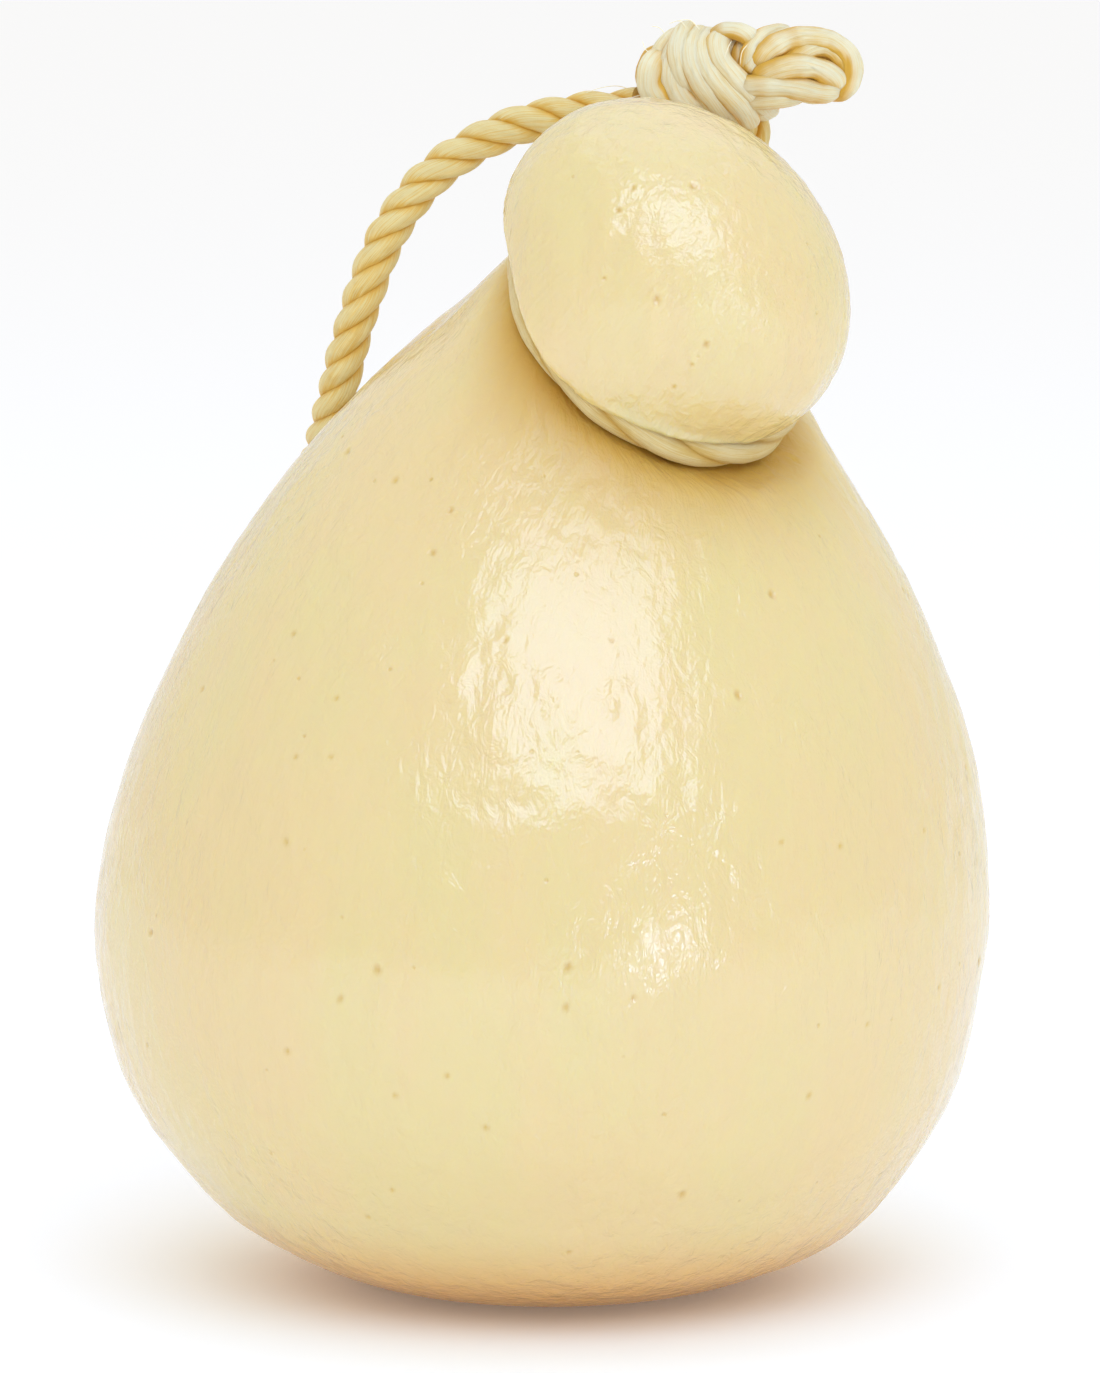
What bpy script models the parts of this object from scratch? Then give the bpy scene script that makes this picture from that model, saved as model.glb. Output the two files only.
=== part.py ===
import math

import bmesh
import bpy
import numpy as np
from mathutils import Matrix, Vector

# A caciocavallo: a pear-shaped stretched-curd cheese with a ball head, tied round the neck with a
# rope that ends in a knot and a long hanging loop. Metres, +X to the right of the shown side,
# +Y to its back, +Z up, origin at the middle of the flat spot that the cheese rests on.

# The body as a turned outline that leans only near the neck: height of each section and its radius.
BODY_OUTLINE = [
    (0.0, 0.025), (0.0035, 0.0389), (0.011, 0.0538), (0.022, 0.0643), (0.038, 0.0737), (0.064, 0.0784),
    (0.088, 0.0752), (0.108, 0.0685), (0.126, 0.0595), (0.141, 0.0497), (0.152, 0.0410), (0.161, 0.0327),
]
BODY_RINGS = 30
SIDES = 48                  # of every round section of the cheese, and of the rope's ring
CURVE_STEPS = 12            # fine steps in each span of a smooth outline or route
BELLY_DRIFT = -0.00165      # the belly bulges a little to the left
BELLY_TOP = 0.110

# The neck leans to the front and the right, and its rope lies in a groove all round.
NECK_CENTRE = Vector((0.0182, -0.020, 0.1702))
NECK_AXIS = Vector((0.505, -0.54, 0.675)).normalized()
SHOULDER_LEAN = Vector((0.0217, -0.020, 0.0))
LEAN_POWER = 5.85           # how late the axis bends over
TILT_POWER = 8.0            # how late the sections tilt
TIE_RADIUS = 0.0258         # from the neck's axis to the middle of the rope
ROPE_RADIUS = 0.0036
GROOVE_RADIUS = 0.00405
GROOVE_LIP = 60.0           # degrees from the outward direction at which the groove starts
GROOVE_SECTIONS = 13
TIE_FACETS = 12             # round the rope itself

# The ball head above the rope: half its length, width and depth, and where its width and depth point.
HEAD_CENTRE = Vector((0.0214, -0.027, 0.1804))
HEAD_HALVES = (0.0328, 0.0263, 0.0270)
HEAD_WIDTH_AXIS = Vector((0.706, 0.051, 0.707))
HEAD_DEPTH_AXIS = Vector((-0.016, -0.996, 0.087))
HEAD_FIRST = -15.0          # degrees of latitude of the first section above the rope
HEAD_RINGS = 10

# At the lower left of the front the head hangs over the rope, and the groove closes round it there.
OVERHANG_SIDE = 251.0       # degrees round the neck of the middle of the overhang
OVERHANG_SPREAD = 35.0      # degrees from there at which it is down to about a third
OVERHANG_OUT = 0.0050
OVERHANG_DOWN = 0.0015
OVERHANG_TOP = 30.0         # degrees of latitude of the head where it ends
LIP_REACH = 44.0            # how much further the groove's upper lip comes round the rope

# The knot behind the head: wraps that fan out round a core, a tight bight to the right and two legs.
KNOT_CENTRE = Vector((0.0275, 0.0035, 0.2122))
WRAP_SLANTS = [-16.0, 4.0, 20.0, 36.0]
WRAP_RADIUS = 0.0074
WRAP_THICKNESS = 0.0028
WRAP_PITCH = 0.0044
WRAP_SEGMENTS = 20
WRAP_FACETS = 8
CORE_LENGTH = 0.018
CORE_RADIUS = 0.006
CORE_SEGMENTS = 14
CORE_RINGS = 8
BIGHT_ROUTE = [
    (0.0290, 0.0030, 0.2152), (0.0360, 0.0030, 0.2162), (0.0450, 0.0030, 0.2170), (0.0496, 0.0030, 0.2160),
    (0.0515, 0.0030, 0.2134), (0.0498, 0.0030, 0.2106), (0.0450, 0.0030, 0.2095), (0.0370, 0.0030, 0.2088),
    (0.0290, 0.0030, 0.2083),
]
BIGHT_RADIUS = 0.0033
BIGHT_POINTS = 20
LEG_ROUTES = [
    [(0.0220, 0.0050, 0.2070), (0.0198, 0.0082, 0.2010), (0.0168, 0.0082, 0.1962), (0.0148, 0.0056, 0.1930),
     (0.0150, 0.0019, 0.1902)],
    [(0.0320, 0.0035, 0.2070), (0.0350, 0.0044, 0.2032), (0.0348, 0.0078, 0.1965), (0.0322, 0.0098, 0.1895),
     (0.0297, 0.0088, 0.1850), (0.0281, 0.0051, 0.1829)],
]
LEG_RADIUS = 0.0033
LEG_POINTS = 7
BEND_ROUNDNESS = 2          # bevel resolution of the bight and the legs
WELD_DISTANCE = 0.00001

# The free rope: from the knot in a bow to the left, down the back of the shoulder and up again.
LOOP_ROUTE = [
    (0.0154, 0.0053, 0.2063), (0.0088, 0.0060, 0.2057), (0.0016, 0.0070, 0.2048),
    (-0.0050, 0.0080, 0.2032), (-0.0117, 0.0090, 0.2003), (-0.0173, 0.0100, 0.1968),
    (-0.0218, 0.0109, 0.1929), (-0.0270, 0.0126, 0.1862), (-0.0305, 0.0143, 0.1790),
    (-0.0330, 0.0160, 0.1718), (-0.0352, 0.0180, 0.1645), (-0.0374, 0.0211, 0.1558),
    (-0.0398, 0.0263, 0.1464), (-0.0421, 0.0367, 0.1357), (-0.0408, 0.0505, 0.1223),
    (-0.0318, 0.0645, 0.1085), (-0.0180, 0.0738, 0.1022), (-0.0020, 0.0748, 0.1047),
    (0.0115, 0.0695, 0.1147), (0.0208, 0.0587, 0.1293), (0.0260, 0.0472, 0.1434),
    (0.0280, 0.0350, 0.1580), (0.0285, 0.0265, 0.1735), (0.0280, 0.0212, 0.1880),
    (0.0276, 0.0172, 0.2000), (0.0274, 0.0130, 0.2064),
]
LOOP_POINTS = 66
LOOP_ROUNDNESS = 3

CHEESE_COLOUR = (0.82, 0.66, 0.37, 1.0)
CHEESE_ROUGHNESS = 0.35
ROPE_COLOUR = (0.80, 0.66, 0.38, 1.0)
ROPE_ROUGHNESS = 0.6


def clear_scene():
    for obj in list(bpy.data.objects):
        bpy.data.objects.remove(obj, do_unlink=True)


def make_collection(name):
    collection = bpy.data.collections.new(name)
    bpy.context.scene.collection.children.link(collection)
    return collection


def make_material(name, colour, roughness):
    material = bpy.data.materials.new(name)
    material.use_nodes = True
    shader = material.node_tree.nodes["Principled BSDF"]
    shader.inputs["Base Color"].default_value = colour
    shader.inputs["Roughness"].default_value = roughness
    shader.inputs["Metallic"].default_value = 0.0
    return material


def smooth_through(points):
    """A smooth curve through the points, in fine steps."""
    given = np.array(points, dtype=float)
    ends = (2 * given[0] - given[1], 2 * given[-1] - given[-2])
    padded = np.vstack([ends[0], given, ends[1]])
    curve = []
    for before, start, end, after in zip(padded, padded[1:], padded[2:], padded[3:]):
        first = math.sqrt(np.linalg.norm(start - before))
        middle = math.sqrt(np.linalg.norm(end - start))
        last = math.sqrt(np.linalg.norm(after - end))
        leave = (start - before) / first - (end - before) / (first + middle) + (end - start) / middle
        arrive = (end - start) / middle - (after - start) / (middle + last) + (after - end) / last
        for step in range(CURVE_STEPS):
            t = step / CURVE_STEPS
            curve.append(
                (2 * t**3 - 3 * t**2 + 1) * start
                + (t**3 - 2 * t**2 + t) * middle * leave
                + (3 * t**2 - 2 * t**3) * end
                + (t**3 - t**2) * middle * arrive
            )
    curve.append(given[-1])
    return np.array(curve)


def evenly_spaced(curve, count):
    """Points at even distances along a finely stepped curve."""
    lengths = np.linalg.norm(np.diff(curve, axis=0), axis=1)
    travelled = np.concatenate([[0.0], np.cumsum(lengths)])
    stops = np.linspace(0.0, travelled[-1], count)
    return np.column_stack([np.interp(stops, travelled, column) for column in curve.T])


def outward_directions(axis):
    """The direction of each point of a round section, square to its axis."""
    across = Vector((0.0, 1.0, 0.0)).cross(axis).normalized()
    along = axis.cross(across)
    angles = [2 * math.pi * side / SIDES for side in range(SIDES)]
    return [across * math.cos(angle) + along * math.sin(angle) for angle in angles]


def overhang(side):
    """How much the head hangs over the rope there: 1 at the most, 0 at the back."""
    away = (360.0 * side / SIDES - OVERHANG_SIDE + 180.0) % 360.0 - 180.0
    return math.exp(-((away / OVERHANG_SPREAD) ** 2))


def body_section(height, radius):
    rise = height / NECK_CENTRE.z
    lean = rise**LEAN_POWER
    drift = BELLY_DRIFT * math.sin(math.pi * min(height / BELLY_TOP, 1.0)) ** 2
    centre = Vector((drift, 0.0, height)) + SHOULDER_LEAN * lean
    upright = Vector((0.0, 0.0, 1.0))
    tilt = upright.angle(NECK_AXIS) * rise**TILT_POWER
    sideways = Vector((NECK_AXIS.x, NECK_AXIS.y, 0.0)).normalized()
    axis = upright * math.cos(tilt) + sideways * math.sin(tilt)
    return [centre + outward * radius for outward in outward_directions(axis)]


def groove_sections():
    sections = []
    for step in range(GROOVE_SECTIONS):
        points = []
        for side, outward in enumerate(outward_directions(NECK_AXIS)):
            opening = 2 * GROOVE_LIP - LIP_REACH * overhang(side)
            angle = -math.radians(GROOVE_LIP + (360.0 - opening) * step / (GROOVE_SECTIONS - 1))
            height = GROOVE_RADIUS * math.sin(angle)
            radius = TIE_RADIUS + GROOVE_RADIUS * math.cos(angle)
            points.append(NECK_CENTRE + NECK_AXIS * height + outward * radius)
        sections.append(points)
    return sections


def head_stretch():
    """What makes a ball of radius 1 into the head."""
    depth = HEAD_DEPTH_AXIS.normalized()
    width = (HEAD_WIDTH_AXIS - depth * HEAD_WIDTH_AXIS.dot(depth)).normalized()
    turned = Matrix((depth.cross(width), width, depth))
    return turned.transposed() @ Matrix.Diagonal(HEAD_HALVES) @ turned


def head_sections():
    """Slices of the head parallel to the rope's ring, and the point where they end."""
    stretch = head_stretch()
    pole = (stretch @ NECK_AXIS).normalized()
    across = (stretch.inverted() @ Vector((0.0, 1.0, 0.0)).cross(NECK_AXIS)).normalized()
    along = pole.cross(across)
    sections = []
    for step in range(HEAD_RINGS):
        degrees = HEAD_FIRST + (90.0 - HEAD_FIRST) * step / HEAD_RINGS
        latitude = math.radians(degrees)
        low = max(OVERHANG_TOP - degrees, 0.0) / (OVERHANG_TOP - HEAD_FIRST)
        points = []
        for side, away in enumerate(outward_directions(NECK_AXIS)):
            angle = 2 * math.pi * side / SIDES
            outward = across * math.cos(angle) + along * math.sin(angle)
            point = HEAD_CENTRE + stretch @ (pole * math.sin(latitude) + outward * math.cos(latitude))
            hang = away * OVERHANG_OUT - NECK_AXIS * OVERHANG_DOWN
            points.append(point + hang * overhang(side) * low**2)
        sections.append(points)
    return sections, HEAD_CENTRE + stretch @ pole


def finish(obj, collection, material):
    for other in list(obj.users_collection):
        other.objects.unlink(obj)
    collection.objects.link(obj)
    obj.data.materials.clear()
    obj.data.materials.append(material)


def make_cheese(collection, material):
    outline = evenly_spaced(smooth_through(BODY_OUTLINE), BODY_RINGS)
    sections = [body_section(height, radius) for height, radius in outline]
    sections += groove_sections()
    head, crown = head_sections()
    sections += head

    shape = bmesh.new()
    rows = [[shape.verts.new(point) for point in section] for section in sections]
    top = shape.verts.new(crown)
    shape.faces.new(reversed(rows[0]))
    for lower, upper in zip(rows, rows[1:]):
        for side in range(SIDES):
            after = (side + 1) % SIDES
            shape.faces.new((lower[side], lower[after], upper[after], upper[side]))
    for side in range(SIDES):
        shape.faces.new((rows[-1][side], rows[-1][(side + 1) % SIDES], top))
    mesh = bpy.data.meshes.new("cheese")
    shape.to_mesh(mesh)
    shape.free()
    mesh.shade_smooth()
    cheese = bpy.data.objects.new("cheese", mesh)
    collection.objects.link(cheese)
    mesh.materials.append(material)


def make_neck_tie(collection, material):
    bpy.ops.mesh.primitive_torus_add(
        major_segments=SIDES,
        minor_segments=TIE_FACETS,
        major_radius=TIE_RADIUS,
        minor_radius=ROPE_RADIUS,
        location=NECK_CENTRE,
        rotation=NECK_AXIS.to_track_quat("Z", "Y").to_euler(),
    )
    tie = bpy.context.object
    tie.name = "neck_tie"
    tie.data.shade_smooth()
    finish(tie, collection, material)


def make_tube(name, points, radius, roundness):
    """A curve object with a round section, through the given points."""
    curve = bpy.data.curves.new(name, "CURVE")
    curve.dimensions = "3D"
    curve.bevel_depth = radius
    curve.bevel_resolution = roundness
    curve.use_fill_caps = True
    spline = curve.splines.new("POLY")
    spline.points.add(len(points) - 1)
    for point, place in zip(spline.points, points):
        point.co = (*place, 1.0)
    return bpy.data.objects.new(name, curve)


def as_mesh(tube, collection):
    """The curve's closed mesh, with its end caps welded on."""
    collection.objects.link(tube)
    bpy.context.view_layer.update()
    evaluated = tube.evaluated_get(bpy.context.evaluated_depsgraph_get())
    mesh = bpy.data.meshes.new_from_object(evaluated)
    shape = bmesh.new()
    shape.from_mesh(mesh)
    bmesh.ops.remove_doubles(shape, verts=shape.verts, dist=WELD_DISTANCE)
    bmesh.ops.recalc_face_normals(shape, faces=shape.faces)
    shape.to_mesh(mesh)
    shape.free()
    solid = bpy.data.objects.new(tube.name, mesh)
    solid.matrix_world = tube.matrix_world
    bpy.data.objects.remove(tube)
    collection.objects.link(solid)


def make_knot(collection, joined, material):
    for number, slant in enumerate(WRAP_SLANTS):
        offset = (number - (len(WRAP_SLANTS) - 1) / 2) * WRAP_PITCH
        bpy.ops.mesh.primitive_torus_add(
            major_segments=WRAP_SEGMENTS,
            minor_segments=WRAP_FACETS,
            major_radius=WRAP_RADIUS,
            minor_radius=WRAP_THICKNESS,
            location=KNOT_CENTRE + Vector((offset, 0.0, 0.0)),
            rotation=(0.0, math.radians(90.0 - slant), 0.0),
        )
        finish(bpy.context.object, joined, material)

    bpy.ops.mesh.primitive_uv_sphere_add(
        segments=CORE_SEGMENTS, ring_count=CORE_RINGS, radius=1.0, location=KNOT_CENTRE
    )
    core = bpy.context.object
    core.name = "knot"
    core.scale = (CORE_LENGTH / 2, CORE_RADIUS, CORE_RADIUS)
    bpy.ops.object.transform_apply(location=False, rotation=False, scale=True)
    finish(core, collection, material)

    bight = evenly_spaced(smooth_through(BIGHT_ROUTE), BIGHT_POINTS)
    as_mesh(make_tube("bight", bight, BIGHT_RADIUS, BEND_ROUNDNESS), joined)
    for route in LEG_ROUTES:
        leg = evenly_spaced(smooth_through(route), LEG_POINTS)
        as_mesh(make_tube("leg", leg, LEG_RADIUS, BEND_ROUNDNESS), joined)

    union = core.modifiers.new("fuse", "BOOLEAN")
    union.operation = "UNION"
    union.solver = "EXACT"
    union.operand_type = "COLLECTION"
    union.collection = joined
    bpy.context.view_layer.objects.active = core
    bpy.ops.object.modifier_apply(modifier=union.name)
    for obj in list(joined.objects):
        bpy.data.objects.remove(obj, do_unlink=True)
    core.data.shade_smooth()


def make_hanging_loop(collection, material):
    route = evenly_spaced(smooth_through(LOOP_ROUTE), LOOP_POINTS)
    loop = make_tube("hanging_loop", route, ROPE_RADIUS, LOOP_ROUNDNESS)
    loop.data.materials.append(material)
    collection.objects.link(loop)


def main():
    clear_scene()
    parts = make_collection("caciocavallo")
    joined = make_collection("joined_shapes")
    cheese_material = make_material("cheese", CHEESE_COLOUR, CHEESE_ROUGHNESS)
    rope_material = make_material("rope", ROPE_COLOUR, ROPE_ROUGHNESS)
    make_cheese(parts, cheese_material)
    make_neck_tie(parts, rope_material)
    make_knot(parts, joined, rope_material)
    make_hanging_loop(parts, rope_material)


main()
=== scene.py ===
import math
import random

import bmesh
import bpy
import numpy as np
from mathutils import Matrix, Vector
from mathutils.bvhtree import BVHTree
from mathutils.kdtree import KDTree


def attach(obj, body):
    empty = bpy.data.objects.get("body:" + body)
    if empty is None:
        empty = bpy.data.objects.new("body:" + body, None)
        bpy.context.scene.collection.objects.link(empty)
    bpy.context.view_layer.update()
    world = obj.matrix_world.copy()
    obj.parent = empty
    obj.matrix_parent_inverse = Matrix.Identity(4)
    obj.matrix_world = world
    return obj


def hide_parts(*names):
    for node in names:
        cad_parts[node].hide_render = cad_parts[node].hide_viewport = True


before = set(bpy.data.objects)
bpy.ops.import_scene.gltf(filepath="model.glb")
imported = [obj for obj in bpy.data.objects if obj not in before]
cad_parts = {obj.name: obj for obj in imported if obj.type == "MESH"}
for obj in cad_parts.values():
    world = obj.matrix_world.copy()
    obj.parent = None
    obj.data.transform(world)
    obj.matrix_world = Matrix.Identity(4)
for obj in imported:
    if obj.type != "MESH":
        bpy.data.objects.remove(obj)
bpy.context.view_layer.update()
scene = bpy.context.scene

# The photograph is 1100 by 1374 pixels; the camera looks a little down on the cheese.
view = {
    "place": Vector((0.0, -1.3864, 0.3001)),
    "aim": Vector((0.0, 0.0, 0.1053)),
    "lens": 209.6,
    "sensor": 36.0,
    "width": 1100,
    "height": 1374,
    "farthest": 60.0,
}


def makeCamera():
    data = bpy.data.cameras.new("camera")
    data.lens = view["lens"]
    data.sensor_width = view["sensor"]
    data.clip_end = view["farthest"]
    camera = bpy.data.objects.new("camera", data)
    camera.location = view["place"]
    camera.rotation_euler = (view["aim"] - view["place"]).to_track_quat("-Z", "Y").to_euler()
    scene.collection.objects.link(camera)
    scene.camera = camera


def rayThrough(x, y):
    # the direction from the camera through a pixel of the photograph
    forward = (view["aim"] - view["place"]).normalized()
    right = forward.cross(Vector((0.0, 0.0, 1.0))).normalized()
    up = right.cross(forward)
    scale = view["sensor"] / view["lens"] / view["height"]
    across = (x - view["width"] / 2) * scale
    down = (y - view["height"] / 2) * scale
    return (forward + right * across - up * down).normalized()


class Wire:
    # one output of a node; sums on it add Math nodes to its tree
    def __init__(self, graph, socket):
        self.graph = graph
        self.socket = socket

    def __getitem__(self, name):
        return Wire(self.graph, self.socket.node.outputs[name])

    def math(self, operation, *others):
        values = dict(enumerate((self, *others)))
        return self.graph.node("ShaderNodeMath", {"operation": operation}, values)

    def __add__(self, other):
        return self.math("ADD", other)

    __radd__ = __add__

    def __sub__(self, other):
        return self.math("SUBTRACT", other)

    def __rsub__(self, other):
        return self.graph.node("ShaderNodeMath", {"operation": "SUBTRACT"}, {0: other, 1: self})

    def __mul__(self, other):
        return self.math("MULTIPLY", other)

    def __truediv__(self, other):
        return self.math("DIVIDE", other)

    def __pow__(self, other):
        return self.math("POWER", other)

    def raised(self, least):
        # from least to 1 where it ran from 0 to 1
        return self * (1.0 - least) + least


class Graph:
    def __init__(self, tree):
        self.tree = tree

    def node(self, kind, settings=None, inputs=None, output=0):
        made = self.tree.nodes.new(kind)
        for name, value in (settings or {}).items():
            setattr(made, name, value)
        for key, value in (inputs or {}).items():
            if isinstance(value, Wire):
                self.tree.links.new(value.socket, made.inputs[key])
            else:
                made.inputs[key].default_value = value
        return Wire(self, made.outputs[output]) if made.outputs else made

    def noise(self, *values):
        names = ("Vector", "Scale", "Detail", "Roughness", "Distortion")
        return self.node("ShaderNodeTexNoise", {}, dict(zip(names, values)))

    def between(self, value, low, high):
        # 0 at low, 1 at high
        limits = {"Value": value, "From Min": low, "From Max": high}
        return self.node("ShaderNodeMapRange", {"interpolation_type": "SMOOTHSTEP"}, limits)

    def blend(self, factor, first, second):
        return self.node("ShaderNodeMix", {"data_type": "RGBA"}, {0: factor, 6: first, 7: second}, 2)

    def vector(self, operation, *values, output=0):
        return self.node("ShaderNodeVectorMath", {"operation": operation}, dict(enumerate(values)), output)

    def scaled(self, vector, amount):
        return self.node("ShaderNodeVectorMath", {"operation": "SCALE"}, {0: vector, "Scale": amount})

    def stretch(self, vector, amounts):
        return self.vector("MULTIPLY", vector, amounts)

    def grain(self, vector, amounts, *sizes):
        # noise drawn out by the amounts
        return self.noise(self.stretch(vector, amounts), *sizes)

    def rise(self, vector):
        return self.node("ShaderNodeSeparateXYZ", {}, {0: vector}, "Z")

    def upward(self, amount):
        return self.node("ShaderNodeCombineXYZ", {}, {"Z": amount})

    def bump(self, height):
        return self.node("ShaderNodeBump", {}, {"Strength": 1.0, "Distance": 1.0, "Height": height})

    def attribute(self, name, output="Fac"):
        return self.node("ShaderNodeAttribute", {"attribute_name": name}, {}, output)

    def named(self, name, kind):
        # the same inside a Geometry Nodes tree
        return self.node("GeometryNodeInputNamedAttribute", {"data_type": kind}, {"Name": name})

    def store(self, geometry, name, value, kind="FLOAT"):
        settings = {"data_type": kind, "domain": "POINT"}
        values = {"Geometry": geometry, "Name": name, "Value": value}
        return self.node("GeometryNodeStoreNamedAttribute", settings, values)

    def circle(self, sides):
        sizes = {"Resolution": sides, "Radius": 1.0}
        return self.node("GeometryNodeCurvePrimitiveCircle", {"mode": "RADIUS"}, sizes)


def linear(red, green, blue):
    # a screen colour of 0 to 255 as the renderer's own
    def one(value):
        value /= 255.0
        return value / 12.92 if value <= 0.04045 else ((value + 0.055) / 1.055) ** 2.4

    return (one(red), one(green), one(blue), 1.0)


def newMaterial(name):
    material = bpy.data.materials.new(name)
    material.use_nodes = True
    material.node_tree.nodes.clear()
    return material, Graph(material.node_tree)


def closeMaterial(graph, surface):
    graph.node("ShaderNodeOutputMaterial", {}, {"Surface": surface})


# Curves

def smoothThrough(points, steps):
    # a smooth curve through the points, in fine steps
    given = np.array(points, dtype=float)
    padded = np.vstack([2 * given[0] - given[1], given, 2 * given[-1] - given[-2]])
    curve = []
    for before, start, end, after in zip(padded, padded[1:], padded[2:], padded[3:]):
        first = math.sqrt(np.linalg.norm(start - before))
        middle = math.sqrt(np.linalg.norm(end - start))
        last = math.sqrt(np.linalg.norm(after - end))
        leave = (start - before) / first - (end - before) / (first + middle) + (end - start) / middle
        arrive = (end - start) / middle - (after - start) / (middle + last) + (after - end) / last
        for step in range(steps):
            t = step / steps
            curve.append(
                (2 * t**3 - 3 * t**2 + 1) * start
                + (t**3 - 2 * t**2 + t) * middle * leave
                + (3 * t**2 - 2 * t**3) * end
                + (t**3 - t**2) * middle * arrive
            )
    curve.append(given[-1])
    return np.array(curve)


def evenlySpaced(curve, count):
    lengths = np.linalg.norm(np.diff(curve, axis=0), axis=1)
    travelled = np.concatenate([[0.0], np.cumsum(lengths)])
    stops = np.linspace(0.0, travelled[-1], count)
    return np.column_stack([np.interp(stops, travelled, column) for column in curve.T])


def lengthOf(curve):
    return float(np.linalg.norm(np.diff(curve, axis=0), axis=1).sum())


def makeObject(name, mesh, material=None):
    piece = bpy.data.objects.new(name, mesh)
    scene.collection.objects.link(piece)
    if material is not None:
        mesh.materials.clear()
        mesh.materials.append(material)
    return piece


def lineObject(name, points, closed=False):
    # a chain of edges for a Geometry Nodes tree to follow
    mesh = bpy.data.meshes.new(name)
    edges = [(step, step + 1) for step in range(len(points) - 1)]
    if closed:
        edges.append((len(points) - 1, 0))
    mesh.from_pydata([tuple(point) for point in points], edges, [])
    return makeObject(name, mesh)


socketKinds = {int: "NodeSocketInt", float: "NodeSocketFloat"}


def newTree(name, inputs):
    # an empty Geometry Nodes tree with named inputs and their values; None stands for a material
    tree = bpy.data.node_groups.new(name, "GeometryNodeTree")
    tree.interface.new_socket("Geometry", in_out="INPUT", socket_type="NodeSocketGeometry")
    for label, value in inputs.items():
        kind = socketKinds.get(type(value), "NodeSocketMaterial")
        socket = tree.interface.new_socket(label, in_out="INPUT", socket_type=kind)
        if value is not None:
            socket.default_value = value
    tree.interface.new_socket("Geometry", in_out="OUTPUT", socket_type="NodeSocketGeometry")
    return tree, Graph(tree)


def closeTree(graph, geometry, material):
    real = graph.node("GeometryNodeRealizeInstances", {}, {0: geometry})
    painted = graph.node("GeometryNodeSetMaterial", {}, {"Geometry": real, "Material": material})
    graph.node("NodeGroupOutput", {}, {0: painted})


def growWith(piece, tree, values):
    # runs the tree on the piece and keeps the result as its plain mesh
    modifier = piece.modifiers.new("growth", "NODES")
    modifier.node_group = tree
    sockets = {item.name: item for item in tree.interface.items_tree if item.in_out == "INPUT"}
    for name, value in values.items():
        modifier[sockets[name].identifier] = value
    bpy.context.view_layer.update()
    evaluated = piece.evaluated_get(bpy.context.evaluated_depsgraph_get())
    mesh = bpy.data.meshes.new_from_object(evaluated)
    piece.modifiers.clear()
    piece.data = mesh
    mesh.name = piece.name


# Cords first: the free rope from the knot, with the same route as its solid.

loopRoute = [
    (0.0154, 0.0053, 0.2063), (0.0088, 0.006, 0.2057), (0.0016, 0.007, 0.2048),
    (-0.005, 0.008, 0.2032), (-0.0117, 0.009, 0.2003), (-0.0173, 0.0100, 0.1968),
    (-0.0218, 0.0109, 0.1929), (-0.027, 0.0126, 0.1862), (-0.0305, 0.0143, 0.179),
    (-0.033, 0.016, 0.1718), (-0.0352, 0.018, 0.1645), (-0.0374, 0.0211, 0.1558),
    (-0.0398, 0.0263, 0.1464), (-0.0421, 0.0367, 0.1357), (-0.0408, 0.0505, 0.1223),
    (-0.0318, 0.0645, 0.1085), (-0.018, 0.0738, 0.1022), (-0.002, 0.0748, 0.1047),
    (0.0115, 0.0695, 0.1147), (0.0208, 0.0587, 0.1293), (0.026, 0.0472, 0.1434),
    (0.028, 0.035, 0.158), (0.0285, 0.0265, 0.1735), (0.028, 0.0212, 0.188),
    (0.0276, 0.0172, 0.2000), (0.0274, 0.013, 0.2064),
]
rope = {
    "thickness": 0.0072,
    "strand": 0.00194,          # radius of one of the three strands
    "spread": 0.00167,          # from the rope's middle to a strand's middle
    "lay": 0.0168,              # length of one full turn
    "looseTurns": 0.66,
    "looseReach": 0.034,
    "twist": -160.0,            # how the fibres turn in a strand, radians a metre
    "unevenness": 0.09,
    "fibreDepth": 0.00016,
    "sides": 30,
    "ringSpacing": 0.00075,
    "routeSteps": 12,
    "linePoints": 200,
    "cordPoints": 120,
    "startTurn": 0.4,
    "pale": linear(254, 232, 166),
    "gold": linear(246, 202, 98),
    # painted shade in the grooves between strands
    "deep": linear(234, 170, 38),
}


# the settings that the rope's tree takes
ropeSizes = (
    "sides", "strand", "spread", "lay", "looseTurns", "looseReach",
    "twist", "unevenness", "fibreDepth", "startTurn",
)
fibres = {
    # scale, detail and roughness of each noise
    "ridge": (2.4, 3.0, 0.65),
    "streak": (1.9, 5.0, 0.75),
    "fine": (5.5, 4.0, 0.7),
    "cloud": (210.0, 2.0),
    # how fast the noises run along a strand, a metre, and across it
    "ridgeAlong": 45.0,
    "streakAlong": 55.0,
    "streakAcross": (6.0, 6.0, 0.0),
    "streakHeight": 0.0003,
    "fineHeight": 0.00012,
    # the parts of the tone, and where it turns from gold to pale; the crest share is painted light on the
    # strands' outer faces, the seam width how far the painted shade of the seams reaches
    "crestShare": 0.4,
    "streakShare": 1.7,
    "fineShare": 0.5,
    "cloudShare": 0.4,
    "toneRange": (1.35, 1.85),
    "seamWidth": 0.5,
    "glossRange": 0.2,
    # how the strands of a rope differ
    "wobbleScale": 160.0,
    "wobbleStep": 13.0,
    "tiltStep": 1.7,
    "seedStep": 4.1,
}


def fibreRelief(graph, geometry, depth):
    # ridges that run along a strand
    along = graph.upward(graph.named("along", "FLOAT") * fibres["ridgeAlong"])
    spot = graph.vector("ADD", graph.named("section", "FLOAT_VECTOR"), along)
    ridge = (graph.noise(spot, *fibres["ridge"]) - 0.5) * depth * 2.0
    offset = graph.scaled(graph.node("GeometryNodeInputNormal"), ridge)
    return graph.node("GeometryNodeSetPosition", {}, {"Geometry": geometry, "Offset": offset})


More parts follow.
